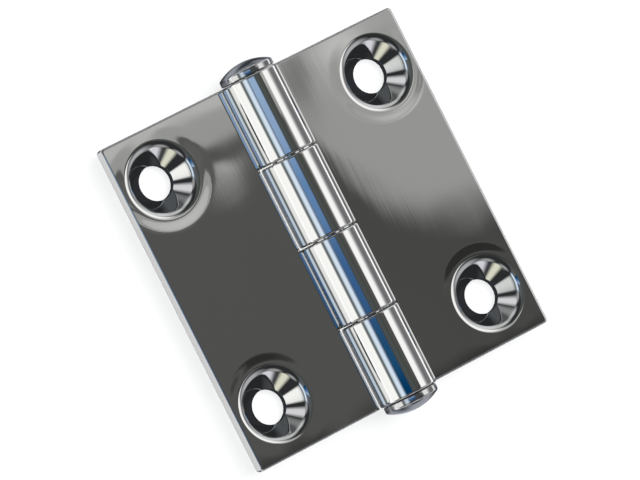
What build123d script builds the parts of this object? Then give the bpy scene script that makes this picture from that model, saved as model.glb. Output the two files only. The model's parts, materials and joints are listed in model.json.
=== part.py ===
"""Pressed sheet-steel butt hinge, lying open flat with its countersunk side up. Millimetres.

The origin is the middle of the pin's axis. +Y runs along the pin, +X to the right leaf, +Z out of the countersunk side.
Each leaf is one sheet: a flat plate, a double bend (the crank) and two knuckles rolled round the pin.
"""
import math
import os
from build123d import *

# Leaves
leaf_length = 40.0        # along the pin
open_width = 40.0         # over both leaves
sheet = 1.5               # thickness of the steel sheet
corner_radius = 0.45      # plan corners of a leaf
edge_break = 0.14         # polished edges of a leaf

# Knuckles, pin and crank
pin_radius = 1.95
pin_clearance = 0.05      # between the pin and the rolled bore, on the radius
pin_height = 0.6          # the pin's axis above a leaf's countersunk face: half the gap between the closed leaves
crank_radius = 0.9        # inside radius of the bend beside the knuckles
knuckle_count = 4         # shared by both leaves
knuckle_gap = 0.16        # between neighbouring knuckles
roll_gap = 0.12           # from the roll's free end down to the leaf that it closes on
notch_clearance = 0.15    # from a knuckle to the edge of the other leaf's cut-out

# Screw holes, pressed down into the sheet
hole_radius = 2.05
side_inset = 5.2          # from the holes to a leaf's free side
end_inset = 6.0           # from the holes to a leaf's ends
mouth_radius = 4.05       # where the countersink's cone would meet the face
half_angle = 45.0         # of the countersink's cone
rim_radius = 1.3          # soft bend from the face into the cone
land = 0.9                # straight wall of the hole under the cone
cone_wall = 1.2           # thickness of the stretched metal of the cone
nose_break = 0.25         # outer edge of the flat end round the hole
rim_margin = 0.04         # flat ring kept round the rim where the pressing joins the sheet

# Heads formed on the pin's ends
head_radius = 3.25
head_side = 0.75          # straight side of a head
dome_rise = 0.95          # low dome above that side
head_seat = 0.08          # play between a head and the knuckle under it
crown_break = 0.2         # between a head's side and its dome
lip_break = 0.1           # edge of a head towards the knuckle

half_length = leaf_length / 2
half_width = open_width / 2
bore_radius = pin_radius + pin_clearance
knuckle_radius = bore_radius + sheet
knuckle_pitch = leaf_length / knuckle_count
notch_edge = knuckle_radius + notch_clearance
top = -pin_height
back = top - sheet
slope = math.radians(half_angle)
seat_radius = mouth_radius + rim_radius * math.tan(slope / 2) + rim_margin

# The crank's bend is centred under the sheet and touches the roll from outside
bend_z = back - crank_radius
bend_x = math.sqrt((crank_radius + knuckle_radius) ** 2 - bend_z ** 2)
bend_angle = math.degrees(math.atan2(bend_z, bend_x))
roll_end_angle = math.degrees(math.asin((top + roll_gap) / knuckle_radius))


def on_circle(centre, radius, angle):
    """The point of a circle at an angle in degrees, in the section's plane."""
    turn = math.radians(angle)
    return (centre[0] + radius * math.cos(turn), centre[1] + radius * math.sin(turn))


def arc(centre, radius, start, end):
    """An arc from one angle to another, in degrees."""
    middle = (start + end) / 2
    return ThreePointArc(*[on_circle(centre, radius, a) for a in (start, middle, end)])


def leaf_section():
    """Sheet across the pin: flat, down through the crank, under the pin and round it to the free end."""
    pin, bend = (0, 0), (bend_x, bend_z)
    facing = bend_angle + 180
    free_end = roll_end_angle - 360
    outline = [
        Line((half_width, back), (half_width, top)),
        Line((half_width, top), (bend_x, top)),
        arc(bend, crank_radius + sheet, 90, facing),
        arc(pin, bore_radius, bend_angle, free_end),
        Line(on_circle(pin, bore_radius, free_end), on_circle(pin, knuckle_radius, free_end)),
        arc(pin, knuckle_radius, free_end, bend_angle),
        arc(bend, crank_radius, facing, 90),
        Line((bend_x, back), (half_width, back)),
    ]
    return Plane.XZ * make_face(outline)


def pressing_section():
    """One side of a pressed screw hole, in its radius and height, with the leaf's face at height 0."""
    cone_depth = (mouth_radius - hole_radius) / math.tan(slope)
    nose = -cone_depth - land
    outer_mouth = mouth_radius + cone_wall / math.cos(slope)
    mouth = (mouth_radius, 0)
    shoulder = (outer_mouth - sheet * math.tan(slope), -sheet)
    nose_edge = (outer_mouth + nose * math.tan(slope), nose)
    outline = [(seat_radius, 0), mouth, (hole_radius, -cone_depth), (hole_radius, nose), nose_edge, shoulder]
    section = make_face(Polyline(*outline, (seat_radius, -sheet), close=True))
    section = fillet(corner_at(section, mouth), rim_radius)
    section = chamfer(corner_at(section, nose_edge), nose_break)
    return Plane.XZ * section


def corner_at(section, point):
    """The corner of a section at a point."""
    return section.vertices().sort_by_distance(point)[0]


def cut_knuckles(body, first):
    """Takes away the other leaf's knuckles, and leaves this one's at every second place from the first."""
    for place in range(knuckle_count):
        if (place - first) % 2 == 0:
            continue
        low = place * knuckle_pitch - half_length - knuckle_gap / 2
        high = low + knuckle_pitch + knuckle_gap
        notch = Box(2 * notch_edge, high - low, 4 * knuckle_radius)
        body -= Pos(0, (low + high) / 2, 0) * notch
    return body


def is_flank(face):
    """A face cut across the sheet: the leaf's outline and the ends of its knuckles."""
    if face.geom_type == GeomType.CYLINDER:
        return abs(face.axis_of_rotation.direction.Z) > 0.9
    return abs(face.normal_at().Z) < 0.01


def is_rim(edge):
    """An edge between a flank and the sheet's skin, but not round the bore or at the roll's free end."""
    if edge.geom_type == GeomType.LINE:
        return abs(edge.tangent_at(0.5).Z) < 0.01
    return abs(edge.radius - bore_radius) > 0.01


def leaf(first):
    """A leaf that reaches to +X, with knuckles at every second place from the first, counted from the lower end."""
    body = cut_knuckles(extrude(leaf_section(), half_length, both=True), first)
    body = fillet(body.edges().filter_by(Axis.Z).group_by(Axis.X)[-1], corner_radius)
    flanks = body.faces().filter_by(is_flank)
    body = chamfer(flanks.edges().filter_by(is_rim), edge_break)
    pressing = revolve(pressing_section(), Axis.Z)
    for end in (-1, 1):
        seat = Pos(half_width - side_inset, end * (half_length - end_inset), top)
        body -= seat * Cylinder(seat_radius, 4 * sheet)
        body += seat * pressing
    return body


def pin():
    """The shaft with a low domed head formed on each end."""
    seat = half_length + head_seat
    shoulder = seat + head_side
    crown = shoulder + dome_rise
    dome_radius = (head_radius ** 2 + dome_rise ** 2) / (2 * dome_rise)
    halfway = 90 - math.degrees(math.asin(head_radius / dome_radius)) / 2
    outline = [
        Line((0, 0), (pin_radius, 0)),
        Line((pin_radius, 0), (pin_radius, seat)),
        Line((pin_radius, seat), (head_radius, seat)),
        Line((head_radius, seat), (head_radius, shoulder)),
        ThreePointArc((head_radius, shoulder), on_circle((0, crown - dome_radius), dome_radius, halfway), (0, crown)),
        Line((0, crown), (0, 0)),
    ]
    section = make_face(outline)
    section = chamfer(corner_at(section, (head_radius, shoulder)), crown_break)
    section = chamfer(corner_at(section, (head_radius, seat)), lip_break)
    half = revolve(section, Axis.Y)
    return half + mirror(half, Plane.XZ)


if __name__ == "__main__":
    os.makedirs("parts", exist_ok=True)
    nodes = {"left_leaf": mirror(leaf(1), Plane.YZ), "right_leaf": leaf(0), "hinge_pin": pin()}
    for name, solid in nodes.items():
        print(name, solid.is_valid, round(solid.volume, 1), len(solid.solids()))
        export_step(solid, f"parts/{name}.step")
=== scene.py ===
import json
import math

import bmesh
import bpy
from mathutils import Matrix, Vector


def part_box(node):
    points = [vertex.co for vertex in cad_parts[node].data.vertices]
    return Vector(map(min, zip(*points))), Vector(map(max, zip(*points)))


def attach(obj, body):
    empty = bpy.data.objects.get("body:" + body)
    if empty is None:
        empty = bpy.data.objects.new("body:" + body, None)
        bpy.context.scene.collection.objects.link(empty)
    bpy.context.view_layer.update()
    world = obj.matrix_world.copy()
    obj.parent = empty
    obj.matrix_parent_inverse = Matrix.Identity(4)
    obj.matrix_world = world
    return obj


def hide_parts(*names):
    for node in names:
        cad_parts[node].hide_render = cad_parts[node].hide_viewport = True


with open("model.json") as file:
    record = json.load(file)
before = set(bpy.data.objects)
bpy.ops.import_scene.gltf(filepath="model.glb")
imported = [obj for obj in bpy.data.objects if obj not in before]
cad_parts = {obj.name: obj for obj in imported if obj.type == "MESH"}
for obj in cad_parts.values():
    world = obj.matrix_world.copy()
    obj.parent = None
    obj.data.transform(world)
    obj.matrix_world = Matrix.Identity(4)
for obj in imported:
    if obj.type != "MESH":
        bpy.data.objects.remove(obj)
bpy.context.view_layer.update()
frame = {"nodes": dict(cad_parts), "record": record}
print("frame loaded:", ", ".join(frame["nodes"]))

mm = 0.001
weldDistance = 0.0005 * mm            # points nearer to each other than this are made one
rounding = 1e-6                       # a share of a step, or of a millimetre, that counts as nothing


# helpers for node trees

# adds nodes, and links or sets the inputs that they are given
class NodeMaker:
    def __init__(self, tree):
        self.tree = tree

    def node(self, kind, inputs=(), **settings):
        made = self.tree.nodes.new(kind)
        for key, value in settings.items():
            setattr(made, key, value)
        for key, value in dict(inputs).items():
            self.feed(made.inputs[key], value)
        return made

    def feed(self, socket, value):
        if isinstance(value, bpy.types.NodeSocket):
            self.tree.links.new(value, socket)
        else:
            socket.default_value = value

    def calc(self, operation, *values, clamp=False):
        made = self.node("ShaderNodeMath", operation=operation, use_clamp=clamp)
        for socket, value in zip(made.inputs, values):
            self.feed(socket, value)
        return made.outputs[0]

    # 0 at the first mark, 1 at the second, and held past both
    def between(self, value, zeroAt, oneAt):
        return self.calc("DIVIDE", self.calc("SUBTRACT", value, zeroAt), oneAt - zeroAt, clamp=True)

    def point(self, x=0.0, y=0.0, z=0.0):
        return self.node("ShaderNodeCombineXYZ", {"X": x, "Y": y, "Z": z}).outputs[0]

    def split(self, vector):
        return tuple(self.node("ShaderNodeSeparateXYZ", {0: vector}).outputs)


# a Geometry Nodes tree with named inputs
class TreeMaker(NodeMaker):
    def __init__(self, name, inputs):
        super().__init__(bpy.data.node_groups.new(name, "GeometryNodeTree"))
        sockets = self.tree.interface
        sockets.new_socket("Geometry", in_out="OUTPUT", socket_type="NodeSocketGeometry")
        self.keys = {}
        for label, kind in inputs:
            made = sockets.new_socket(label, in_out="INPUT", socket_type="NodeSocket" + kind)
            self.keys[label] = made.identifier
        self.start = self.node("NodeGroupInput")
        self.end = self.node("NodeGroupOutput")

    def given(self, label):
        return self.start.outputs[label]

    def position(self):
        return self.node("GeometryNodeInputPosition").outputs[0]

    def move(self, geometry, places):
        return self.node("GeometryNodeSetPosition", {"Geometry": geometry, "Position": places}).outputs[0]

    def weld(self, geometry, distance):
        welded = self.node("GeometryNodeMergeByDistance", {"Geometry": geometry, "Distance": distance})
        return welded.outputs[0]

    def choose(self, test, no, yes):
        made = self.node("GeometryNodeSwitch", {"Switch": test, "False": no, "True": yes},
                         input_type="FLOAT")
        return made.outputs[0]

    def joinReal(self, *pieces):
        joined = self.node("GeometryNodeJoinGeometry")
        for piece in pieces:
            self.feed(joined.inputs[0], piece)
        return self.node("GeometryNodeRealizeInstances", {"Geometry": joined.outputs[0]}).outputs[0]

    def dress(self, geometry, material):
        smooth = self.node("GeometryNodeSetShadeSmooth", {"Geometry": geometry}).outputs[0]
        return self.node("GeometryNodeSetMaterial", {"Geometry": smooth, "Material": material}).outputs[0]

    def finish(self, geometry):
        self.feed(self.end.inputs[0], geometry)
        return self


# the nodes of a material or of the world, where a colour may be three numbers
class ShaderMaker(NodeMaker):
    def feed(self, socket, value):
        if socket.type == "RGBA" and isinstance(value, tuple):
            value = (*value, 1)
        super().feed(socket, value)

    # inputs 6 and 7 are the node's two colours
    def mix(self, factor, low, high, blend="MIX"):
        made = self.node("ShaderNodeMix", data_type="RGBA", blend_type=blend)
        for key, value in ((0, factor), (6, low), (7, high)):
            self.feed(made.inputs[key], value)
        return made.outputs[2]

    def noise(self, place, scale, detail):
        made = self.node("ShaderNodeTexNoise", {"Vector": place, "Scale": scale, "Detail": detail})
        return made.outputs[0]

    def ramp(self, factor, stops, kind="EASE"):
        made = self.node("ShaderNodeValToRGB", {"Fac": factor})
        bar = made.color_ramp
        bar.interpolation = kind
        while len(bar.elements) > 1:
            bar.elements.remove(bar.elements[-1])
        bar.elements[0].position, bar.elements[0].color = stops[0][0], (*stops[0][1], 1)
        for place, colour in stops[1:]:
            bar.elements.new(place).color = (*colour, 1)
        return made.outputs["Color"]


# helpers for objects and meshes

def addObject(name, data):
    obj = bpy.data.objects.new(name, data)
    bpy.context.scene.collection.objects.link(obj)
    return obj


# runs a tree on an object and leaves a plain mesh
def applyTree(obj, maker, values):
    modifier = obj.modifiers.new(maker.tree.name, "NODES")
    modifier.node_group = maker.tree
    for label, value in values.items():
        modifier[maker.keys[label]] = value
    shape = bpy.context.evaluated_depsgraph_get()
    mesh = bpy.data.meshes.new_from_object(obj.evaluated_get(shape))
    obj.modifiers.remove(modifier)
    old = obj.data
    obj.data = mesh
    bpy.data.meshes.remove(old)


# turns the faces outwards and reports any edge that is left open
def settleMesh(obj, mirrored=False):
    bm = bmesh.new()
    bm.from_mesh(obj.data)
    if mirrored:
        bmesh.ops.scale(bm, vec=(-1, 1, 1), verts=bm.verts)
    bmesh.ops.recalc_face_normals(bm, faces=bm.faces)
    openEdges = sum(1 for edge in bm.edges if len(edge.link_faces) != 2)
    print(obj.name, len(bm.faces), "faces, open edges", openEdges)
    bm.to_mesh(obj.data)
    bm.free()


# points on an arc, angles in degrees, both ends included
def arcPoints(centre, radius, start, end, steps):
    turns = [math.radians(start + (end - start) * i / steps) for i in range(steps + 1)]
    return [(centre[0] + radius * math.cos(a), centre[1] + radius * math.sin(a)) for a in turns]


# even places from low to high, no further apart than a step
def spread(low, high, step):
    count = max(1, math.ceil((high - low) / step - rounding))
    return [low + (high - low) * i / count for i in range(count + 1)]


# the same, with a place at every mark
def spreadAll(marks, step):
    places = [marks[0]]
    for low, high in zip(marks, marks[1:]):
        places += spread(low, high, step)[1:]
    return places


# a row of points, radius in X and height in Z, for the lathe
def profileObject(name, points):
    mesh = bpy.data.meshes.new(name)
    mesh.from_pydata([(r, 0, h) for r, h in points], [(i, i + 1) for i in range(len(points) - 1)], [])
    return addObject(name, mesh)


# turns a profile's points round Z
def latheTree():
    make = TreeMaker("lathe", [("Profile", "Geometry"), ("Segments", "Int")])
    calc, profile, segments = make.calc, make.given("Profile"), make.given("Segments")
    counted = make.node("GeometryNodeAttributeDomainSize", {"Geometry": profile}, component="MESH")
    rows = counted.outputs["Point Count"]
    columns = calc("ADD", segments, 1)
    grid = make.node("GeometryNodeMeshGrid", {"Vertices X": columns, "Vertices Y": rows}).outputs["Mesh"]
    index = make.node("GeometryNodeInputIndex").outputs[0]
    column = calc("FLOOR", calc("DIVIDE", calc("ADD", index, 0.5), rows))
    row = calc("SUBTRACT", index, calc("MULTIPLY", column, rows))
    sample = make.node("GeometryNodeSampleIndex",
                       {"Geometry": profile, "Value": make.position(), "Index": row},
                       data_type="FLOAT_VECTOR", domain="POINT")
    radius, _, height = make.split(sample.outputs[0])
    turn = calc("MULTIPLY", calc("DIVIDE", column, segments), 2 * math.pi)
    x = calc("MULTIPLY", radius, calc("COSINE", turn))
    y = calc("MULTIPLY", radius, calc("SINE", turn))
    turned = make.move(grid, make.point(x, y, height))
    return make.finish(make.weld(turned, weldDistance))


lathe = latheTree()


# the lathe inside another tree
def turnProfile(make, profile):
    made = make.node("GeometryNodeGroup", {"Profile": profile, "Segments": make.given("Segments")},
                     node_tree=lathe.tree)
    return made.outputs[0]


# the two leaves: a flat blank with thickness, which Geometry Nodes press, crank and roll

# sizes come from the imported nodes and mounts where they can
leafLow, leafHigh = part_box("right_leaf")
screwMount = next(m for m in frame["record"]["mounts"] if m["name"] == "right_screw_holes")

leafSizes = {
    "halfLength": leafHigh.y,
    "halfWidth": leafHigh.x,
    "knuckleRadius": leafHigh.z,
    "sheet": 1.5 * mm,
    "pinHeight": 0.6 * mm,            # the pin's axis above the countersunk face
    "crankRadius": 0.9 * mm,          # inside radius of the bend beside the knuckles
    "rollGap": 0.12 * mm,             # from the roll's free end down to the leaf
    "knuckleCount": 4,                # shared by both leaves
    "knuckleGap": 0.16 * mm,
    "notchClearance": 0.15 * mm,      # from a knuckle to the other leaf's cut-out
    "cornerRadius": 0.45 * mm,
    "edgeRadius": 0.24 * mm,
    # how fine its mesh is
    "gridStep": 0.42 * mm,
    "rollStep": 0.13 * mm,
    "crankStep": 0.078 * mm,
    "edgeSteps": 5,
    "cornerSteps": 6,
    "seatRings": 9,
    "seatCrowding": 1.25,             # above 1 the rings stand closer together near the hole
    "support": 0.035 * mm,            # thin flat ring that keeps the flats flat up to their edges
    "seatWeld": 0.002 * mm,           # joins the pressings to the sheet
}

pressingSizes = {
    "holes": screwMount["dims"]["count"],
    "centreX": screwMount["pos_m"][0],
    "spacing": screwMount["dims"]["spacing_y_mm"] * mm,
    "holeRadius": screwMount["dims"]["hole_r_mm"] * mm,
    "mouthRadius": 4.05 * mm,         # where the cone would meet the face
    "slope": 45.0,                    # of the cone, down from the face
    "rimRadius": 1.3 * mm,
    "land": 0.9 * mm,                 # straight wall under the cone
    "coneWall": 1.2 * mm,
    "rimMargin": 0.04 * mm,           # flat ring kept round the rim
    "lipRadius": 0.05 * mm,
    "noseBreak": 0.25 * mm,
    "shoulderRadius": 0.4 * mm,
    "dishDepth": 0.04 * mm,           # the sheet is drawn down a little round each pressing
    "dishReach": 1.5 * mm,
    # how fine its mesh is
    "segments": 112,
    "rimSteps": 10,
    "coneSteps": 8,
    "lipSteps": 4,
    "noseSteps": 5,
    "shoulderSteps": 6,
    "coneSupport": 0.03 * mm,         # points beside the edge of cone and land keep both straight
    "landSupport": 0.04 * mm,
}

# the sheet's section, as it is rolled and as it lies flat
sheet, crankRadius, knuckleRadius = (leafSizes[k] for k in ("sheet", "crankRadius", "knuckleRadius"))
faceHeight = -leafSizes["pinHeight"]
boreRadius = knuckleRadius - sheet
bendDepth = sheet + crankRadius - faceHeight
bendX = math.sqrt((crankRadius + knuckleRadius) ** 2 - bendDepth ** 2)
bendTurn = math.atan2(-bendDepth, bendX)                                  # where crank meets roll
rollEnd = math.asin((faceHeight + leafSizes["rollGap"]) / knuckleRadius)  # where it closes on the leaf
crankLength = (crankRadius + sheet / 2) * (bendTurn + math.pi / 2)
rollLength = (boreRadius + sheet / 2) * (bendTurn - rollEnd + 2 * math.pi)
crankEndsAt = bendX - crankLength
blankEndsAt = crankEndsAt - rollLength
notchEdge = knuckleRadius + leafSizes["notchClearance"]

# a pressing's section, where a round corner reaches this share of its radius along each side
slope = math.radians(pressingSizes["slope"])
cornerReach = math.tan(slope / 2)
rimStart = pressingSizes["mouthRadius"] + pressingSizes["rimRadius"] * cornerReach
seatRadius = rimStart + pressingSizes["rimMargin"]
coneDepth = (pressingSizes["mouthRadius"] - pressingSizes["holeRadius"]) * math.tan(slope)
noseDepth = coneDepth + pressingSizes["land"]


# the sheet before it is rolled: flat, reaching to +X, with its strips for the knuckles
class Blank:
    def __init__(self, firstKnuckle):
        self.bm = bmesh.new()
        self.cut = self.bm.verts.layers.float.new("cutEdge")             # 1 where cut across the sheet
        self.known = {}
        self.skin = []
        self.inset = leafSizes["edgeRadius"] + leafSizes["support"]
        self.knuckles = []
        count, gap = leafSizes["knuckleCount"], leafSizes["knuckleGap"]
        pitch = 2 * leafSizes["halfLength"] / count
        for place in range(firstKnuckle, count, 2):
            low = place * pitch - leafSizes["halfLength"]
            gapLow = gap / 2 if place > 0 else 0
            gapHigh = gap / 2 if place < count - 1 else 0
            self.knuckles.append((low + gapLow, low + pitch - gapHigh))

    # one vertex to a place
    def vertex(self, x, y):
        key = (round(x / mm, 4), round(y / mm, 4))
        if key not in self.known:
            self.known[key] = self.bm.verts.new((x, y, 0))
        return self.known[key]

    def face(self, corners):
        self.skin.append(self.bm.faces.new(corners))

    def patch(self, xs, ys):
        for x0, x1 in zip(xs, xs[1:]):
            for y0, y1 in zip(ys, ys[1:]):
                self.face([self.vertex(*p) for p in ((x0, y0), (x1, y0), (x1, y1), (x0, y1))])

    # a rectangle's border, counterclockwise, with as many points as a pressing has segments
    def seatBorder(self, xs, ys, side):
        ys = ys if side > 0 else ys[::-1]
        right, inner, outer = xs[-1], ys[0], ys[-1]
        radius = leafSizes["cornerRadius"] - self.inset
        turnX, turnY = right - radius, outer - side * radius
        first = [(x, inner) for x in xs]
        corner = arcPoints((turnX, turnY), radius, 0, 90, leafSizes["cornerSteps"])
        last = [(x, turnY + side * (y - turnY)) for x, y in corner]
        last += [(x, outer) for x in spread(xs[0], turnX, leafSizes["gridStep"])[-2::-1]]
        last += [(xs[0], y) for y in ys[-2:0:-1]]
        free = pressingSizes["segments"] - len(first) - len(last)        # what is left for the free side
        rise = (turnY - inner) / (free + 1)
        border = first + [(right, inner + rise * (i + 1)) for i in range(free)] + last
        return border if side > 0 else border[::-1]

    # rings from a screw hole's seat out to the border of its patch
    def seatPatch(self, xs, ys, centre, side):
        border = self.seatBorder(xs, ys, side)
        count, rings = len(border), leafSizes["seatRings"]
        turns = [math.atan2(y - centre[1], x - centre[0]) for x, y in border]
        nearest = min(range(count), key=lambda i: abs(turns[i]))
        border = border[nearest:] + border[:nearest]         # from straight to the right, as the seat
        rows = []
        for k in range(rings + 1):
            share = (k / rings) ** leafSizes["seatCrowding"]
            row = []
            for i, (x, y) in enumerate(border):
                turn = 2 * math.pi * i / count
                seatX = centre[0] + seatRadius * math.cos(turn)
                seatY = centre[1] + seatRadius * math.sin(turn)
                row.append(self.vertex(seatX + (x - seatX) * share, seatY + (y - seatY) * share))
            rows.append(row)
        for low, high in zip(rows, rows[1:]):
            for i in range(count):
                j = (i + 1) % count
                self.face([low[i], high[i], high[j], low[j]])

    def build(self):
        inset, step = self.inset, leafSizes["gridStep"]
        endY, freeX = leafSizes["halfLength"] - inset, leafSizes["halfWidth"] - inset
        holeX, holeY = pressingSizes["centreX"], pressingSizes["spacing"] / 2
        # a hole stands in the middle of its patch
        patchX, patchY = 2 * holeX - leafSizes["halfWidth"], 2 * holeY - leafSizes["halfLength"]
        notchX, hair = notchEdge + inset, rounding * mm
        marks = {-endY, -patchY, patchY, endY}
        for low, high in self.knuckles:
            marks |= {low + inset, high - inset}
        ys = spreadAll(sorted(marks), step)
        xs = spread(patchX, freeX, step)
        self.patch(spread(notchX, patchX, step), ys)
        self.patch(xs, [y for y in ys if abs(y) <= patchY + hair])
        for side in (-1, 1):
            span = [y for y in ys if side * y >= patchY - hair]
            self.seatPatch(xs, span, (holeX, side * holeY), side)
        strip = spread(blankEndsAt + inset, crankEndsAt, leafSizes["rollStep"])[:-1]
        strip += spread(crankEndsAt, bendX, leafSizes["crankStep"])[:-1] + spread(bendX, notchX, step)
        for low, high in self.knuckles:
            self.patch(strip, [y for y in ys if low <= y <= high])
        self.wall()
        return self.bm

    # the back skin, and rounded edges from the outer loop of the skin
    def wall(self):
        bm, radius, support = self.bm, leafSizes["edgeRadius"], leafSizes["support"]
        loops = self.outline()
        copy = {v: bm.verts.new((v.co.x, v.co.y, -sheet)) for v in list(bm.verts)}
        for face in self.skin:
            bm.faces.new([copy[v] for v in reversed(face.verts)])
        half = arcPoints((support, -radius), radius, 90, 0, leafSizes["edgeSteps"])
        half.append((half[-1][0], half[-1][1] - 2 * support))
        profile = half + [(out, -sheet - height) for out, height in reversed(half)]
        for loop in loops:
            rows = [[v for v, _ in loop]]
            for out, height in profile:
                row = [bm.verts.new((*(v.co.xy + way * out), height)) for v, way in loop]
                for v in row:
                    v[self.cut] = (out - support) / radius
                rows.append(row)
            rows.append([copy[v] for v, _ in loop])
            for low, high in zip(rows, rows[1:]):
                for i in range(len(loop)):
                    j = (i + 1) % len(loop)
                    bm.faces.new([low[j], low[i], high[i], high[j]])

    # the skin's outer loops, each vertex with its mitred outward direction
    def outline(self):
        following = {}
        for face in self.skin:
            corners = list(face.verts)
            for a, b in zip(corners, corners[1:] + corners[:1]):
                if len(self.bm.edges.get((a, b)).link_faces) == 1:
                    following[a] = b
        loops = []
        while following:
            start, v = following.popitem()
            loop = [start]
            while v is not start:
                loop.append(v)
                v = following.pop(v)
            places = [v.co for v in loop]
            area = sum(a.x * b.y - b.x * a.y for a, b in zip(places, places[1:] + places[:1]))
            if area > 0:                                     # the seats' own loops run the other way
                loops.append(self.directions(loop))
        return loops

    def directions(self, loop):
        made = []
        for i, v in enumerate(loop):
            before, after = v.co - loop[i - 1].co, loop[(i + 1) % len(loop)].co - v.co
            n1 = Vector((before.y, -before.x)).normalized()
            n2 = Vector((after.y, -after.x)).normalized()
            made.append((v, (n1 + n2) / (1 + n1.dot(n2))))
        return made


# rim, cone, land, nose and the outer cone up to the back, radius and height under the face
def pressingProfile():
    p, fall = pressingSizes, pressingSizes["slope"]
    rim, lip, nose, soft = (p[k] for k in ("rimRadius", "lipRadius", "noseBreak", "shoulderRadius"))
    hole, steps = p["holeRadius"], p["coneSteps"]
    outerMouth = p["mouthRadius"] + p["coneWall"] / math.sin(slope)
    noseEdge = outerMouth - noseDepth / math.tan(slope)
    shoulder = outerMouth - sheet / math.tan(slope)
    noseMiddle = (noseEdge - nose * cornerReach, nose - noseDepth)
    softMiddle = (shoulder + soft * cornerReach, -sheet - soft)
    points = [(seatRadius, 0)] + arcPoints((rimStart, -rim), rim, 90, 90 + fall, p["rimSteps"])
    width, rise = points[-1][0] - hole, points[-1][1] + coneDepth
    points += [(hole + width * k / steps, -coneDepth + rise * k / steps) for k in range(steps - 1, 0, -1)]
    points += [(hole + p["coneSupport"], -coneDepth + p["coneSupport"] * math.tan(slope))]
    points += [(hole, -coneDepth), (hole, -coneDepth - p["landSupport"])]
    points += arcPoints((hole + lip, lip - noseDepth), lip, 180, 270, p["lipSteps"])
    points += arcPoints(noseMiddle, nose, -90, fall - 90, p["noseSteps"])
    points += arcPoints(softMiddle, soft, 90 + fall, 90, p["shoulderSteps"])
    return points + [(seatRadius, -sheet)]


def leafTree():
    make = TreeMaker("pressAndRoll", [
        ("Geometry", "Geometry"), ("Profile", "Object"), ("Segments", "Int"), ("Holes", "Int"),
        ("Hole X", "Float"), ("Hole Spacing", "Float"), ("Seat Radius", "Float"), ("Nose Depth", "Float"),
        ("Dish Depth", "Float"), ("Dish Reach", "Float"), ("Face Height", "Float"), ("Sheet", "Float"),
        ("Bore Radius", "Float"), ("Crank Radius", "Float"), ("Bend X", "Float"), ("Bend Turn", "Float"),
        ("Crank Ends", "Float"), ("Weld", "Float"), ("Material", "Material")])
    calc, given = make.calc, make.given

    # the pressings stand at the screw holes
    profile = make.node("GeometryNodeObjectInfo", {"Object": given("Profile")}).outputs["Geometry"]
    pressing = turnProfile(make, profile)
    first = make.point(given("Hole X"), calc("MULTIPLY", given("Hole Spacing"), -0.5))
    step = make.point(y=given("Hole Spacing"))
    line = make.node("GeometryNodeMeshLine",
                     {"Count": given("Holes"), "Start Location": first, "Offset": step}, mode="OFFSET")
    placed = make.node("GeometryNodeInstanceOnPoints", {"Points": line.outputs[0], "Instance": pressing})
    pressed = make.weld(make.joinReal(given("Geometry"), placed.outputs[0]), given("Weld"))

    # the dish round each pressing
    x, y, height = make.split(make.position())
    dx = calc("SUBTRACT", x, given("Hole X"))
    dy = calc("SUBTRACT", calc("ABSOLUTE", y), calc("MULTIPLY", given("Hole Spacing"), 0.5))
    away = calc("SQRT", calc("ADD", calc("MULTIPLY", dx, dx), calc("MULTIPLY", dy, dy)))
    share = calc("DIVIDE", calc("SUBTRACT", away, given("Seat Radius")), given("Dish Reach"), clamp=True)
    left = calc("SUBTRACT", 1.0, share)
    soft = calc("MULTIPLY", calc("MULTIPLY", left, left), calc("ADD", 1.0, calc("MULTIPLY", share, 2.0)))
    fade = calc("SUBTRACT", 1.0, calc("DIVIDE", calc("ABSOLUTE", height), given("Nose Depth")), clamp=True)
    # all of it towards the middle of the leaf's length, none towards its end
    inwards = calc("MULTIPLY_ADD", calc("DIVIDE", dy, away), -0.5, 0.5, clamp=True)
    drop = calc("MULTIPLY", calc("MULTIPLY", calc("MULTIPLY", soft, fade), inwards), given("Dish Depth"))
    depth = calc("SUBTRACT", height, drop)

    # flat, then the crank's arc under the sheet, then the roll round the pin
    crankOuter = calc("ADD", given("Crank Radius"), given("Sheet"))
    crankMiddle = calc("ADD", given("Crank Radius"), calc("MULTIPLY", given("Sheet"), 0.5))
    crankTurn = calc("DIVIDE", calc("SUBTRACT", given("Bend X"), x), crankMiddle)
    crankReach = calc("ADD", crankOuter, depth)
    crankX = calc("SUBTRACT", given("Bend X"), calc("MULTIPLY", crankReach, calc("SINE", crankTurn)))
    crankZ = calc("ADD", calc("SUBTRACT", given("Face Height"), crankOuter),
                  calc("MULTIPLY", crankReach, calc("COSINE", crankTurn)))
    rollMiddle = calc("ADD", given("Bore Radius"), calc("MULTIPLY", given("Sheet"), 0.5))
    rolledBy = calc("DIVIDE", calc("SUBTRACT", given("Crank Ends"), x), rollMiddle)
    rollTurn = calc("SUBTRACT", given("Bend Turn"), rolledBy)
    rollReach = calc("SUBTRACT", given("Bore Radius"), depth)
    rollX = calc("MULTIPLY", rollReach, calc("COSINE", rollTurn))
    rollZ = calc("MULTIPLY", rollReach, calc("SINE", rollTurn))
    flatZ = calc("ADD", given("Face Height"), depth)

    inCrank = calc("LESS_THAN", x, given("Bend X"))
    inRoll = calc("LESS_THAN", x, given("Crank Ends"))
    newX = make.choose(inRoll, make.choose(inCrank, x, crankX), rollX)
    newZ = make.choose(inRoll, make.choose(inCrank, flatZ, crankZ), rollZ)
    rolled = make.move(pressed, make.point(newX, y, newZ))
    return make.finish(make.dress(rolled, given("Material")))


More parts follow.
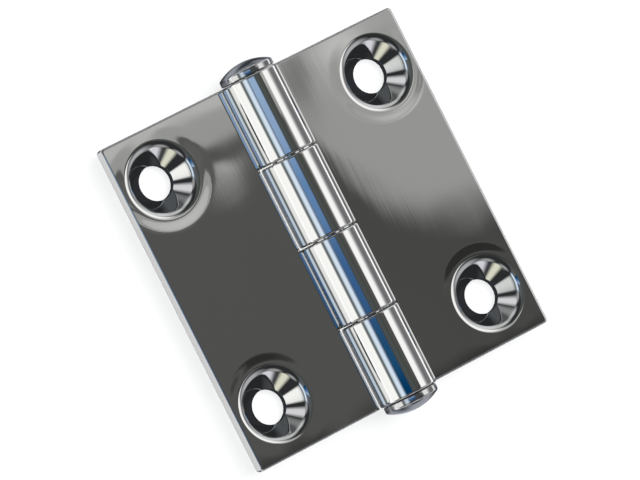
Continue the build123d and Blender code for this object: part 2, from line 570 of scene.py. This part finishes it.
def buildLeaf(name, firstKnuckle, mirrored, material):
    bm = Blank(firstKnuckle).build()
    mesh = bpy.data.meshes.new(name)
    bm.to_mesh(mesh)
    bm.free()
    leaf = addObject(name, mesh)
    profile = profileObject(name + "_profile", pressingProfile())
    p = pressingSizes
    applyTree(leaf, pressAndRoll, {
        "Profile": profile, "Segments": p["segments"], "Holes": p["holes"],
        "Hole X": p["centreX"], "Hole Spacing": p["spacing"], "Seat Radius": seatRadius,
        "Nose Depth": noseDepth, "Dish Depth": p["dishDepth"], "Dish Reach": p["dishReach"],
        "Face Height": faceHeight, "Sheet": sheet, "Bore Radius": boreRadius,
        "Crank Radius": crankRadius, "Bend X": bendX, "Bend Turn": bendTurn,
        "Crank Ends": crankEndsAt, "Weld": leafSizes["seatWeld"], "Material": material})
    bpy.data.objects.remove(profile)
    settleMesh(leaf, mirrored)
    return leaf


# the pin: a shaft with a low domed head formed on each end

pinSizes = {
    "crown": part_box("hinge_pin")[1].y,
    "radius": 1.95 * mm,
    "headRadius": 3.25 * mm,
    "headSeat": 0.08 * mm,            # play between a head and the knuckle under it
    "domeRise": 0.95 * mm,
    "crownRadius": 0.28 * mm,
    "lipRadius": 0.12 * mm,
    # how fine its mesh is
    "segments": 128,
    "lipSteps": 5,
    "crownSteps": 8,
    "domeSteps": 24,
    "support": 0.05 * mm,             # points beside its edges keep the straight stretches straight
    "seatSupport": 0.03 * mm,
}


# half of the pin from its middle to the top of one head, radius and height
def pinProfile():
    p = pinSizes
    seat, head = leafSizes["halfLength"] + p["headSeat"], p["headRadius"]
    dome = (head ** 2 + p["domeRise"] ** 2) / (2 * p["domeRise"])
    centre = p["crown"] - dome
    lip, soft = p["lipRadius"], p["crownRadius"]
    points = [(p["radius"], 0), (p["radius"], seat - p["support"]), (p["radius"], seat)]
    points += [(head - lip - p["seatSupport"], seat)]
    points += arcPoints((head - lip, seat + lip), lip, -90, 0, p["lipSteps"])
    # the soft corner touches the side and the dome
    cornerX = head - soft
    cornerZ = centre + math.sqrt((dome - soft) ** 2 - cornerX ** 2)
    meets = math.degrees(math.atan2(cornerZ - centre, cornerX))
    points += [(head, cornerZ - p["support"])]
    points += arcPoints((cornerX, cornerZ), soft, 0, meets, p["crownSteps"])
    points += arcPoints((0, centre), dome, meets, 90, p["domeSteps"])[1:-1]
    return points + [(0, p["crown"])]


def pinTree():
    make = TreeMaker("turnedPin", [
        ("Geometry", "Geometry"), ("Segments", "Int"), ("Material", "Material")])
    half = turnProfile(make, make.given("Geometry"))
    halves = [make.node("GeometryNodeTransform", {"Geometry": half, "Rotation": (turn, 0, 0)}).outputs[0]
              for turn in (-math.pi / 2, math.pi / 2)]
    whole = make.weld(make.joinReal(*halves), weldDistance)
    return make.finish(make.dress(whole, make.given("Material")))


def buildPin(name, material):
    pin = profileObject(name, pinProfile())
    applyTree(pin, turnedPin, {"Segments": pinSizes["segments"], "Material": material})
    settleMesh(pin)
    return pin


# polished steel for the leaves and the pin

sheetLook = {
    "colour": (0.78, 0.78, 0.77),
    "roughness": 0.016,
    "dullStreaks": 0.016,             # roughness added in the polishing streaks
    "cutColour": (0.50, 0.50, 0.495),
    "cutRoughness": 0.20,
    "waveScale": 110.0,
    "waveHeight": 0.015 * mm,         # the sheet is not quite flat, so reflections waver
    "streakScale": (2400.0, 50.0, 2400.0),
    "streakHeight": 0.0004 * mm,
}
pinLook = dict(sheetLook, colour=(0.62, 0.62, 0.62), roughness=0.08, dullStreaks=0.06, waveScale=500.0,
               waveHeight=0.008 * mm)


# faint polishing streaks run along Y, and the cut edges are duller than the faces
def steelMaterial(name, look):
    material = bpy.data.materials.new(name)
    material.use_nodes = True
    make = ShaderMaker(material.node_tree)
    shader = material.node_tree.nodes["Principled BSDF"]
    place = make.node("ShaderNodeTexCoord").outputs["Object"]
    wave = make.noise(place, look["waveScale"], 1.0)
    drawn = make.node("ShaderNodeVectorMath", {0: place, 1: look["streakScale"]}, operation="MULTIPLY")
    streak = make.noise(drawn.outputs[0], 1.0, 2.0)
    waved = make.node("ShaderNodeBump", {"Height": wave, "Distance": look["waveHeight"]}).outputs[0]
    streaked = make.node("ShaderNodeBump",
                         {"Height": streak, "Distance": look["streakHeight"], "Normal": waved})
    cut = make.node("ShaderNodeAttribute", attribute_name="cutEdge").outputs["Fac"]
    roughness = make.calc("MULTIPLY_ADD", streak, look["dullStreaks"], look["roughness"])
    roughness = make.calc("MULTIPLY_ADD", cut, look["cutRoughness"], roughness)
    make.feed(shader.inputs["Base Color"], make.mix(cut, look["colour"], look["cutColour"]))
    make.feed(shader.inputs["Metallic"], 1.0)
    make.feed(shader.inputs["Roughness"], roughness)
    make.feed(shader.inputs["Normal"], streaked.outputs[0])
    return material


sheetSteel = steelMaterial("polishedSheet", sheetLook)
pinSteel = steelMaterial("polishedPin", pinLook)
print("steel made")

pressAndRoll = leafTree()
turnedPin = pinTree()
leftLeaf = buildLeaf("left_leaf_sheet", 1, True, sheetSteel)
rightLeaf = buildLeaf("right_leaf_sheet", 0, False, sheetSteel)
pin = buildPin("hinge_pin_rod", pinSteel)
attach(leftLeaf, "left_leaf")
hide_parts("left_leaf")
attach(rightLeaf, "right_leaf")
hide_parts("right_leaf")
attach(pin, "left_leaf")
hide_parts("hinge_pin")
print("leaves and pin built")


# camera at the photograph's view

cameraSizes = {
    "place": (-331.3 * mm, 9.9 * mm, 723.7 * mm),
    "lens": 399.0,                    # a long lens from far away
    "sensor": 36.0,
    "right": (0.80996, -0.45043, 0.37561),                              # the picture's right and up
    "up": (0.41444, 0.89272, 0.17686),
    "clip": (0.01, 20.0),
}


def addCamera():
    c = cameraSizes
    data = bpy.data.cameras.new("camera")
    data.lens, data.sensor_width = c["lens"], c["sensor"]
    data.clip_start, data.clip_end = c["clip"]
    camera = addObject("camera", data)
    right, up = Vector(c["right"]).normalized(), Vector(c["up"])
    backward = right.cross(up).normalized()
    turn = Matrix((right, backward.cross(right), backward)).transposed()
    camera.matrix_world = Matrix.Translation(c["place"]) @ turn.to_4x4()
    bpy.context.scene.camera = camera


addCamera()
print("camera placed")


# studio: a pale floor, a soft lamp, and surroundings for the polish to reflect

surroundings = {
    # brightness round the pin's axis, in degrees from straight up, + towards the right leaf
    "strips": [
        (-180, (0.30, 0.30, 0.30)),
        (-98, (0.45, 0.45, 0.45)),
        (-90, (1.15, 1.15, 1.14)),
        (-66, (1.20, 1.20, 1.18)),
        (-63, (0.60, 0.62, 0.62)),
        (-60, (0.14, 0.16, 0.16)),
        (-55, (0.14, 0.16, 0.18)),
        (-50, (0.70, 0.83, 0.93)),
        (-42, (0.90, 1.02, 1.18)),
        (-37, (0.55, 0.70, 0.92)),
        (-32, (0.14, 0.15, 0.17)),
        (2, (0.09, 0.10, 0.10)),
        (14, (0.07, 0.08, 0.07)),
        (22, (0.10, 0.10, 0.10)),
        (28, (0.50, 0.51, 0.50)),
        (34, (1.20, 1.20, 1.19)),
        (50, (1.15, 1.15, 1.15)),
        (59, (0.45, 0.45, 0.46)),
        (68, (0.18, 0.18, 0.19)),
        (84, (0.22, 0.22, 0.23)),
        (96, (0.36, 0.36, 0.37)),
        (180, (0.30, 0.30, 0.30)),
    ],
    "stripsMiddle": 0.08,             # along the pin's axis, where 1 is straight to its upper end
    "stripsReach": 0.26,              # either way from their middle
    "stripsSoft": 0.10,
    "plain": (0.030, 0.032, 0.034),   # past the strips' ends
    "low": (0.10, 0.105, 0.11),       # and near the horizon there
    "lowTo": 0.12,
    "plainFrom": 0.35,
    # soft windows in the dark ends: direction, size and brightness
    "windows": [
        ((-0.52, -0.80, 0.30), 0.20, (0.85, 0.85, 0.70)),
        ((0.12, -0.98, 0.12), 0.24, (0.80, 0.79, 0.86)),
        ((-0.55, 0.76, 0.33), 0.20, (0.80, 0.80, 0.84)),
        ((-0.02, 0.88, 0.46), 0.26, (0.62, 0.62, 0.63)),
        ((-0.58, 0.56, 0.62), 0.20, (0.40, 0.40, 0.41)),
        ((-0.58, -0.56, 0.62), 0.20, (0.40, 0.40, 0.41)),
        ((-0.02, -0.86, 0.52), 0.24, (0.38, 0.38, 0.39)),
        ((0.76, 0.53, 0.36), 0.40, (0.72, 0.73, 0.74)),
        ((0.42, 0.76, 0.48), 0.26, (0.62, 0.63, 0.63)),
        ((0.68, -0.62, 0.36), 0.42, (0.50, 0.51, 0.53)),
    ],
    "windowFullTo": 1 / 2,            # shares of a window's size
    "windowEndsAt": 4 / 3,
}


def buildWorld():
    s = surroundings
    world = bpy.data.worlds.new("studio")
    bpy.context.scene.world = world
    world.use_nodes = True
    world.node_tree.nodes.clear()
    make = ShaderMaker(world.node_tree)
    way = make.node("ShaderNodeTexCoord").outputs["Generated"]
    x, y, z = make.split(way)
    place = make.calc("ADD", make.calc("DIVIDE", make.calc("ARCTAN2", x, z), 2 * math.pi), 0.5)
    strips = make.ramp(place, [((angle + 180) / 360, colour) for angle, colour in s["strips"]], "LINEAR")
    plain = make.ramp(make.calc("ABSOLUTE", z), [(s["lowTo"], s["low"]), (s["plainFrom"], s["plain"])])
    aside = make.calc("ABSOLUTE", make.calc("SUBTRACT", y, s["stripsMiddle"]))
    past = make.between(aside, s["stripsReach"], s["stripsReach"] + s["stripsSoft"])
    colour = make.mix(past, strips, plain)
    for direction, size, glow in s["windows"]:
        middle = Vector(direction).normalized()
        away = make.node("ShaderNodeVectorMath", {0: way, 1: middle}, operation="DISTANCE")
        near = make.between(away.outputs["Value"], s["windowEndsAt"] * size, s["windowFullTo"] * size)
        colour = make.mix(near, colour, glow)
    around = make.node("ShaderNodeBackground", {"Color": colour, "Strength": 1.0}).outputs[0]
    white = make.node("ShaderNodeBackground", {"Color": (1, 1, 1), "Strength": 1.0}).outputs[0]
    seen = make.node("ShaderNodeLightPath").outputs["Is Camera Ray"]
    mixed = make.node("ShaderNodeMixShader", {0: seen, 1: around, 2: white}).outputs[0]
    make.node("ShaderNodeOutputWorld", {0: mixed})


squareCorners = ((-1, -1), (1, -1), (1, 1), (-1, 1))


# one flat face for the studio, reaching both ways along two arms, and its bare material
def addSquare(name, finish, centre, across, along):
    mesh = bpy.data.meshes.new(name)
    mesh.from_pydata([centre + across * i + along * j for i, j in squareCorners], [], [(0, 1, 2, 3)])
    piece = addObject(name, mesh)
    material = bpy.data.materials.new(finish)
    material.use_nodes = True
    material.node_tree.nodes.clear()
    mesh.materials.append(material)
    return piece, ShaderMaker(material.node_tree)


floorSizes = {
    "size": 3.0,
    "drop": 0.05 * mm,                # a hair under the noses, so that their ends are not in its plane
    "colour": (0.55, 0.55, 0.55),
    "glow": 0.92,                     # added to its lit colour where the polish mirrors it
    "seeThrough": 0.74,               # how much of the white surroundings the camera sees through it
}


def buildFloor():
    s = floorSizes
    half, centre = s["size"] / 2, Vector((0, 0, leafLow.z - s["drop"]))
    _, make = addSquare("floor", "paleFloor", centre, Vector((half, 0, 0)), Vector((0, half, 0)))
    lit = make.node("ShaderNodeBsdfDiffuse", {"Color": s["colour"]}).outputs[0]
    path = make.node("ShaderNodeLightPath").outputs
    mirrored = make.calc("MAXIMUM", path["Is Glossy Ray"], path["Is Transmission Ray"])
    strength = make.calc("MULTIPLY", mirrored, s["glow"])
    glow = make.node("ShaderNodeEmission", {"Strength": strength}).outputs[0]
    # the camera sees the white surroundings through it, and so a leaf that swings below it
    seen, clearness = path["Is Camera Ray"], (s["seeThrough"],) * 3
    through = make.node("ShaderNodeBsdfTransparent", {"Color": clearness}).outputs[0]
    extra = make.node("ShaderNodeMixShader", {0: seen, 1: glow, 2: through}).outputs[0]
    above = make.node("ShaderNodeAddShader", {0: lit, 1: extra}).outputs[0]
    below = make.calc("MULTIPLY", seen, make.node("ShaderNodeNewGeometry").outputs["Backfacing"])
    clear = make.node("ShaderNodeBsdfTransparent").outputs[0]
    mixed = make.node("ShaderNodeMixShader", {0: below, 1: above, 2: clear}).outputs[0]
    make.node("ShaderNodeOutputMaterial", {0: mixed})


lampSizes = {
    "power": 4.4,
    "size": 0.9,
    "place": (0.35, 0.1, 0.85),
}


def buildLamp():
    s = lampSizes
    data = bpy.data.lights.new("softLamp", "AREA")
    data.shape, data.size, data.energy = "SQUARE", s["size"], s["power"]
    lamp = addObject("softLamp", data)
    lamp.location = s["place"]
    lamp.rotation_euler = Vector(s["place"]).to_track_quat("Z", "Y").to_euler()
    lamp.visible_glossy = False
    lamp.visible_camera = False


# glowing cards that only the polish sees, holding painted reflections and painted shade, each painted by
# the place that mirrors it

def addCard(name, centre, across, along):
    card, make = addSquare(name, name, centre, across, along)
    card.visible_camera = card.visible_shadow = card.visible_diffuse = False
    uv = card.data.uv_layers.new(name="place")
    for loop, corner in zip(uv.data, squareCorners):
        loop.uv = corner
    x, y, _ = make.split(make.node("ShaderNodeUVMap", uv_map="place").outputs[0])
    return make, x, y


def glowing(make, colour):
    glow = make.node("ShaderNodeEmission", {"Color": colour, "Strength": 1.0})
    make.node("ShaderNodeOutputMaterial", {0: glow.outputs[0]})


# a stop is a place with a brightness or a colour
def stopsAlong(make, place, stops):
    low, high = stops[0][0], stops[-1][0]
    colours = [(v, v, v) if isinstance(v, float) else v for _, v in stops]
    return make.ramp(make.between(place, low, high),
                     [((at - low) / (high - low), colour) for (at, _), colour in zip(stops, colours)])


# 1 at the middle, and about a seventh at the given sizes from it
def softSpot(make, *offsets):
    far = 0.0
    for value, middle, size in offsets:
        away = make.calc("DIVIDE", make.calc("SUBTRACT", value, middle), size)
        far = make.calc("MULTIPLY_ADD", away, away, far)
    return make.calc("EXPONENT", make.calc("MULTIPLY", far, -2.0))


cardDistance = 0.4                    # metres from the pin


# square to its direction, at the middle of what the part mirrors there
def hungCard(name, angle, half):
    spot, distance = Vector(cameraSizes["place"]), cardDistance
    away = Vector((math.sin(angle), 0, math.cos(angle)))
    centre = away * distance + Vector((0, -spot.y * distance / spot.length, 0))
    across, along = Vector((away.z, 0, -away.x)), Vector((0, 1, 0))
    make, x, y = addCard(name, centre, across * half[0], along * half[1])
    grows = (1 + distance / spot.length) * mm                # a mirror image grows with distance
    x = make.calc("MULTIPLY", x, half[0] / grows / away.z)
    return make, x, make.calc("MULTIPLY", y, half[1] / grows)


leftTopReflection = [(15.0, 0.38), (18.2, 0.38), (19.2, 0.55), (30, 0.62)]        # painted reflection along the top of the left leaf
leafReflectionPattern = {
    "half": (0.036, 0.080),           # of the card, across and along the pin
    # the painted reflection's brightness by the millimetre along the leaf that mirrors it
    "left": [(-26, 0.03), (-20.5, 0.05), (-18, 0.098), (9, 0.100), (12.4, 0.13), (13.2, 0.12), (13.8, 0.10),
             (14.4, 0.11)] + leftTopReflection,
    "leftPatch": [(0, 0.098), (7, 0.10), (7.8, 0.11), (9.1, 0.18), (10.4, 0.25), (11.2, 0.33), (12.1, 0.42),
                  (12.7, 0.38), (13.5, 0.09), (14.3, 0.09)] + leftTopReflection,
    "right": [(-30, 0.082), (-13.5, 0.078), (-3.8, 0.074), (3.8, 0.38), (16, 0.38), (19.0, 0.42),
              (30, 0.60)],
    "patchPlace": -7.8,               # a soft painted light patch in the left leaf's reflection
    "patchWidth": 3.2,
    "rightEdge": -4.6,                # the upper edge of the painted dark reflection on the right leaf, rising to the barrel
    "rightRise": 38.0,
    "rightFall": 4.3,
    "edgeEndsAt": 15.0,               # above this the edge moves nothing
    "streaks": 2.8,                   # millimetres that this edge wavers, in streaks along the pin
    "streakScale": 0.32,
    # painted light spots in the right leaf's reflection: middle, size and brightness
    "spots": [((12.0, 18.0), (5.0, 4.0), 0.62), ((5.6, 17.5), (2.2, 6.0), 0.22)],
    "rightLow": (-18.2, 1.8, 0.03),   # painted dark reflection from here down, over this length, to this brightness
    "tint": (1.0, 1.01, 0.985),
}


def buildLeafCard():
    p, spot = leafReflectionPattern, Vector(cameraSizes["place"])
    make, x, y = hungCard("leafCard", math.atan2(-spot.x, spot.z), p["half"])
    # the right leaf's painted reflection: dark below a wavering edge, with two light spots above it
    nearBarrel = make.calc("EXPONENT", make.calc("DIVIDE", make.calc("MAXIMUM", x, 0.0), -p["rightFall"]))
    edge = make.calc("MULTIPLY_ADD", nearBarrel, p["rightRise"], p["rightEdge"])
    waver = make.node("ShaderNodeTexNoise", {"W": x, "Scale": p["streakScale"], "Detail": 3.0},
                      noise_dimensions="1D")
    waver = make.calc("SUBTRACT", waver.outputs[0], 0.5)
    edge = make.calc("MULTIPLY_ADD", waver, p["streaks"], edge)
    upper = make.calc("GREATER_THAN", y, p["edgeEndsAt"])
    shift = make.calc("MULTIPLY", edge, make.calc("SUBTRACT", 1.0, upper))
    right = stopsAlong(make, make.calc("SUBTRACT", y, shift), p["right"])
    for middle, size, glow in p["spots"]:
        spotted = softSpot(make, (x, middle[0], size[0]), (y, middle[1], size[1]))
        right = make.mix(spotted, right, (glow, glow, glow))
    start, over, glow = p["rightLow"]
    right = make.mix(make.between(y, start, start - over), right, (glow, glow, glow))
    # the left leaf's painted reflection: plain, with a soft light patch
    patch = softSpot(make, (x, p["patchPlace"], p["patchWidth"]))
    left = make.mix(patch, stopsAlong(make, y, p["left"]), stopsAlong(make, y, p["leftPatch"]))
    both = make.mix(make.calc("GREATER_THAN", x, 0.0), left, right)
    glowing(make, make.mix(1.0, both, p["tint"], "MULTIPLY"))


sheenPattern = {
    "half": (0.106, 0.036),           # of the card, across and along the pin
    "angle": -16.0,                   # where the tops of the knuckles mirror the camera
    # painted blue reflection along the knuckles, from the lower end of the pin to the upper
    "blue": [(-20, (0.0, 0.045, 0.14)), (-15, (0.016, 0.085, 0.20)), (-5, (0.05, 0.14, 0.33)),
             (5, (0.14, 0.28, 0.53)), (15, (0.31, 0.46, 0.70)), (20, (0.36, 0.52, 0.76))],
    "edge": (0.07, 0.08, 0.08),       # what the blue fades to at the right
    "fade": (34.0, 56.0),             # in millimetres across the card's mirror image
}


def buildSheenCard():
    p = sheenPattern
    make, x, y = hungCard("sheenCard", math.radians(p["angle"]), p["half"])
    glowing(make, make.mix(make.between(x, *p["fade"]), stopsAlong(make, y, p["blue"]), p["edge"]))


# a dark card just under the hinge that only the polish sees: painted shade under the hinge and its holes,
# and painted patchy reflections past the pin's ends
reflectedShadePattern = {
    "middle": 0.0058,                 # it reaches from the left leaf's free side past the right one's
    "half": (0.0262, 0.055),
    "drop": 0.03 * mm,
    # painted shade under the hinge, and darker painted shadow under the holes
    "under": (0.26, 0.27, 0.28),
    "throughHoles": (0.030, 0.032, 0.036),
    # in millimetres
    "holeShade": (3.2, 2.2),          # from a hole's middle, where its painted dark disc of shadow begins and is full
    "ends": (19.0, 21.0),             # past these it holds patchy painted reflections, which show in the pin's domes
    "endsDark": (0.05, 0.055, 0.07),
    "endsLight": (0.42, 0.44, 0.49),
    "patchScale": 0.15,
    "patchEdge": (0.50, 5.0),         # where the noise turns light, and how sharply
}


def buildReflectedShadeCard():
    p, middle = reflectedShadePattern, reflectedShadePattern["middle"]
    halfX, halfY = p["half"]
    centre = Vector((middle, 0, leafLow.z - p["drop"]))
    make, x, y = addCard("tableCard", centre, Vector((halfX, 0, 0)), Vector((0, halfY, 0)))
    x = make.calc("MULTIPLY_ADD", x, halfX / mm, middle / mm)
    y = make.calc("MULTIPLY", y, halfY / mm)
    # painted shadow under the holes
    dx = make.calc("SUBTRACT", make.calc("ABSOLUTE", x), pressingSizes["centreX"] / mm)
    dy = make.calc("SUBTRACT", make.calc("ABSOLUTE", y), pressingSizes["spacing"] / 2 / mm)
    away = make.calc("SQRT", make.calc("MULTIPLY_ADD", dx, dx, make.calc("MULTIPLY", dy, dy)))
    under = make.mix(make.between(away, *p["holeShade"]), p["under"], p["throughHoles"])
    # painted patchy reflections past the pin's ends
    turnsLight, sharpness = p["patchEdge"]
    patches = make.calc("SUBTRACT", make.noise(make.point(x, y), p["patchScale"], 0.0), turnsLight)
    patches = make.calc("MULTIPLY_ADD", patches, sharpness, 0.5, clamp=True)
    ends = make.mix(patches, p["endsDark"], p["endsLight"])
    glowing(make, make.mix(make.between(make.calc("ABSOLUTE", y), *p["ends"]), under, ends))


buildWorld()
buildFloor()
buildLamp()
buildLeafCard()
buildSheenCard()
buildReflectedShadeCard()
print("studio built")

bpy.context.scene.view_settings.view_transform = "Standard"
